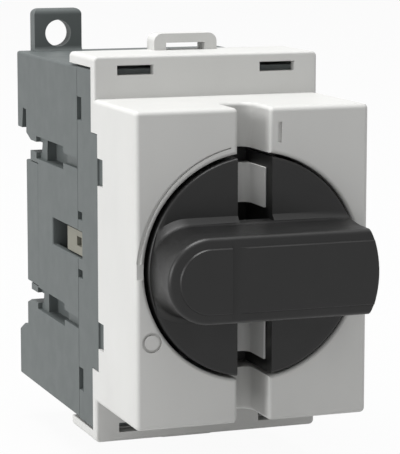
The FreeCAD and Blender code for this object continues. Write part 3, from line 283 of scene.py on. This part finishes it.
def round_edges(piece, skin, width):
    """Rounds the sharp edges a little. Edges that are too close to small facets for it stay sharp."""
    plain = piece.data
    plain.attributes.new("corner", "INT", "POINT").data.foreach_set("value", range(len(plain.vertices)))
    plain.attributes.new("bevel_weight_edge", "FLOAT", "EDGE")
    rounded = sharp_edges(plain, SHORTEST_EDGE * width * MM)
    stray = rounded
    while stray and rounded:
        weights = [float(edge.index in rounded) for edge in plain.edges]
        plain.attributes["bevel_weight_edge"].data.foreach_set("value", weights)
        piece.data = plain.copy()
        bevel = piece.modifiers.new("edges", "BEVEL")
        bevel.width = width * MM
        bevel.segments = BEVEL_SEGMENTS
        bevel.limit_method = "WEIGHT"
        bevel.use_clamp_overlap = False
        bevel.loop_slide = False
        finish_modifiers(piece)
        corners = strays(piece, skin, width / 2 * MM)
        stray = {index for index in rounded if corners.intersection(plain.edges[index].vertices)}
        rounded -= stray
    for name in ("corner", "bevel_weight_edge"):
        piece.data.attributes.remove(piece.data.attributes[name])


def shade(piece):
    """Curved faces smooth, flat faces flat up to their rounded edges."""
    select_only(piece)
    bpy.ops.object.shade_smooth_by_angle(angle=SHADING_ANGLE)
    weighted = piece.modifiers.new("shading", "WEIGHTED_NORMAL")
    weighted.mode = "FACE_AREA_WITH_ANGLE"
    weighted.weight = 90
    weighted.keep_sharp = True
    finish_modifiers(piece)


def stands_for(piece, node, material):
    """The piece takes the node's place, its body and its finish."""
    piece.data.materials.append(material)
    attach(piece, frame["nodes"][node]["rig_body"])
    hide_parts(node)


def dress(node, name, material, rounding):
    """A finished copy of a node in the node's place. Where the rounding is 0, the node has its own."""
    piece = merged_copy(node, name)
    if rounding:
        round_edges(piece, frame["nodes"][node], rounding)
    shade(piece)
    stands_for(piece, node, material)
    return piece


def block(name, x, y, z):
    """A block between two limits along each axis."""
    middle = [(low + high) / 2 * MM for low, high in (x, y, z)]
    bpy.ops.mesh.primitive_cube_add(size=1, location=middle)
    piece = bpy.context.active_object
    piece.name = name
    piece.scale = [(high - low) * MM for low, high in (x, y, z)]
    bpy.ops.object.transform_apply()
    return piece


def round_bar(name, middle, radius, y, corners):
    """A round bar along Y between two levels. The middle is its X and Z."""
    bpy.ops.mesh.primitive_cylinder_add(
        vertices=corners, radius=radius * MM, depth=(y[1] - y[0]) * MM,
        location=(middle[0] * MM, sum(y) / 2 * MM, middle[1] * MM), rotation=(math.pi / 2, 0, 0))
    piece = bpy.context.active_object
    piece.name = name
    bpy.ops.object.transform_apply()
    return piece


# The marks on the cover

COVER_FRONT = -56.4
COVER_HALF_WIDTH = 17.5
MARK_LEVELS = (COVER_FRONT - 1, COVER_FRONT + 0.35)
POINTER_LEVELS = (COVER_FRONT - 1, COVER_FRONT + 0.2)
THROUGH = (MARK_LEVELS[0] - 1, MARK_LEVELS[1] + 1)
BAR_WIDTH = (3.63, 4.23)
BAR_HEIGHT = (17.45, 20.4)
RING_MIDDLE = (-15.15, -9.93)
RING_OUTSIDE = 1.45
RING_INSIDE = 1.05
ARC_OUTSIDE = 17.38
ARC_INSIDE = 17.0
ARC_CORE_MIDDLE = (0.25, 0.25)       # the shift thins the arc towards its upper end
ARC_END = -3.4
ARC_START = 1.2
BEYOND_ARC = 20
POINTER_END = -16.3
POINTER_LOW = -0.95


def engrave_marks(cover):
    """The marks of the two positions: a bar at the top, a ring lower left, and the arc that shows the way."""
    engrave(cover, block("bar_mark", BAR_WIDTH, MARK_LEVELS, BAR_HEIGHT))
    ring = round_bar("ring_mark", RING_MIDDLE, RING_OUTSIDE, MARK_LEVELS, 96)
    engrave(ring, round_bar("ring_core", RING_MIDDLE, RING_INSIDE, THROUGH, 96))
    engrave(cover, ring)
    pointer = block("pointer_mark", (-COVER_HALF_WIDTH - 1, POINTER_END), POINTER_LEVELS, (POINTER_LOW, ARC_START))
    engrave(cover, pointer)
    arc = round_bar("arc_mark", (0, 0), ARC_OUTSIDE, MARK_LEVELS, 180)
    engrave(arc, round_bar("arc_core", ARC_CORE_MIDDLE, ARC_INSIDE, THROUGH, 180))
    engrave(arc, block("arc_right", (ARC_END, BEYOND_ARC), THROUGH, (-BEYOND_ARC, BEYOND_ARC)))
    engrave(arc, block("arc_low", (-BEYOND_ARC, BEYOND_ARC), THROUGH, (-BEYOND_ARC, ARC_START)))
    engrave(cover, arc)


# The pads of the carriage in the side windows

PAD_REACH = (15.9, 17.05)            # from the middle of the part outwards
PAD_DEPTH = (-30.55, -21.6)
PAD_HEIGHT = (-1.85, 1.85)
PAD_ROUNDING = 0.1
SLOT_REACH = (14.2, 18.0)
SLOT_DEPTH = (-29.1, -26.7)
SLOT_HEIGHT = (-0.5, 0.95)


def outwards(side, reach):
    """Limits along X on one side of the part."""
    return sorted((side * reach[0], side * reach[1]))


def add_window_pad(carriage, side):
    """The raised pad that fills the window up to its gap, with the slot for the driver of an auxiliary contact."""
    pad = block("window_pad", outwards(side, PAD_REACH), PAD_DEPTH, PAD_HEIGHT)
    bevel = pad.modifiers.new("edges", "BEVEL")
    bevel.width = PAD_ROUNDING * MM
    bevel.segments = BEVEL_SEGMENTS
    finish_modifiers(pad)
    combine(carriage, pad, "UNION")
    engrave(carriage, block("window_pad_slot", outwards(side, SLOT_REACH), SLOT_DEPTH, SLOT_HEIGHT))


# Pieces

cover = merged_copy("front_cover", "cover_moulding")
engrave_marks(cover)
shade(cover)
stands_for(cover, "front_cover", cover_plastic)

dress("front_housing", "front_housing_moulding", housing_plastic, 0.15)
dress("rear_housing", "rear_housing_moulding", housing_plastic, 0.2)
dress("base_cap", "base_cap_moulding", housing_plastic, 0.2)
dress("handle", "handle_moulding", handle_plastic, 0)
dress("padlock_liner_upper", "upper_padlock_liner", liner_plastic, 0)
dress("padlock_liner_lower", "lower_padlock_liner", liner_plastic, 0)

carriage = merged_copy("contact_carriage", "carriage_moulding")
round_edges(carriage, frame["nodes"]["contact_carriage"], 0.15)
for side in (-1, 1):
    add_window_pad(carriage, side)
shade(carriage)
stands_for(carriage, "contact_carriage", carriage_plastic)

dress("rail_latch", "rail_latch_moulding", latch_plastic, 0.15)
coil = dress("latch_spring", "rail_latch_coil", spring_steel, 0)
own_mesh(coil)

for end in ENDS:
    for pole in POLES:
        dress(f"{end}_clamp_{pole}", f"{end}_box_clamp_{pole}", steel, 0.12)
        dress(f"{end}_screw_{pole}", f"{end}_terminal_screw_{pole}", steel, 0.1)


# The other pieces inside keep their shapes and get their finishes

INSIDE = {
    "drive_shaft": steel,
    "spring_driver": steel,
    "snap_spring": spring_steel,
    "cam_drum": latch_plastic,
    "shaft_circlip": spring_steel,
}
for pole in POLES:
    INSIDE[f"bridge_{pole}"] = copper
    INSIDE[f"bridge_spring_{pole}"] = spring_steel
    for end in ENDS:
        INSIDE[f"{end}_contact_{pole}"] = copper
for node, material in INSIDE.items():
    mesh = frame["nodes"][node].data
    mesh.materials.clear()
    mesh.materials.append(material)


# Stage, light and camera

FLOOR_WIDTH = 8                      # metres, as are the next two
LAMP_DISTANCE = 1.0
LAMP_WIDTH = 0.6
PAPER = (0.55, 0.55, 0.55, 1)
STUDIO_GREY = (0.35, 0.35, 0.35, 1)


def white_for_camera(tree, surface, white, share):
    """Mixes in plain white where the camera, a reflection or glass looks at a surface."""
    path = tree.nodes.new("ShaderNodeLightPath")
    looks = path.outputs["Is Camera Ray"]
    for name in ("Is Glossy Ray", "Is Transmission Ray"):
        either = tree.nodes.new("ShaderNodeMath")
        either.operation = "MAXIMUM"
        tree.links.new(looks, either.inputs[0])
        tree.links.new(path.outputs[name], either.inputs[1])
        looks = either.outputs["Value"]
    part = tree.nodes.new("ShaderNodeMath")
    part.operation = "MULTIPLY"
    part.inputs[1].default_value = share
    tree.links.new(looks, part.inputs[0])
    mix = tree.nodes.new("ShaderNodeMixShader")
    tree.links.new(part.outputs["Value"], mix.inputs["Fac"])
    tree.links.new(surface, mix.inputs[1])
    tree.links.new(white, mix.inputs[2])
    return mix.outputs["Shader"]


def studio_floor():
    """Pale paper that looks nearly white and keeps the shadow."""
    bpy.ops.mesh.primitive_plane_add(size=FLOOR_WIDTH, location=(0, 0, cad_low.z))
    floor = bpy.context.active_object
    floor.name = "studio_floor"
    material = bpy.data.materials.new("studio_paper")
    tree, surface = empty_tree(material, "ShaderNodeOutputMaterial")
    paper = tree.nodes.new("ShaderNodeBsdfDiffuse")
    paper.inputs["Color"].default_value = PAPER
    white = tree.nodes.new("ShaderNodeEmission")
    seen = white_for_camera(tree, paper.outputs["BSDF"], white.outputs["Emission"], 0.95)
    tree.links.new(seen, surface)
    floor.data.materials.append(material)


def studio_world():
    """Soft grey light from all round, white to look at."""
    world = bpy.data.worlds.new("studio")
    bpy.context.scene.world = world
    tree, surface = empty_tree(world, "ShaderNodeOutputWorld")
    grey = tree.nodes.new("ShaderNodeBackground")
    grey.inputs["Color"].default_value = STUDIO_GREY
    white = tree.nodes.new("ShaderNodeBackground")
    seen = white_for_camera(tree, grey.outputs["Background"], white.outputs["Background"], 1)
    tree.links.new(seen, surface)


def softbox(name, towards, strength):
    """A square lamp that faces the object from one direction; strength 1 lights a face as it is written."""
    lamp = bpy.data.lights.new(name, "AREA")
    lamp.size = LAMP_WIDTH
    lamp.energy = strength * (math.pi * LAMP_DISTANCE) ** 2
    piece = bpy.data.objects.new(name, lamp)
    bpy.context.scene.collection.objects.link(piece)
    direction = Vector(towards).normalized()
    piece.location = (cad_low + cad_high) / 2 + direction * LAMP_DISTANCE
    piece.rotation_euler = direction.to_track_quat("Z", "Y").to_euler()


studio_floor()
studio_world()
softbox("top_softbox", (-0.12, 0, 1), 1.15)
softbox("left_softbox", (-1, -0.1, 0.2), 0.66)

camera_data = bpy.data.cameras.new("camera")
camera = bpy.data.objects.new("camera", camera_data)
bpy.context.scene.collection.objects.link(camera)
camera_data.sensor_width = 36
camera_data.lens = 174.8
camera.location = (-0.11124, -0.34210, 0.05250)
camera.rotation_euler = (math.radians(81.31), 0, math.radians(-19.86))
bpy.context.scene.camera = camera
bpy.context.scene.view_settings.view_transform = "Standard"
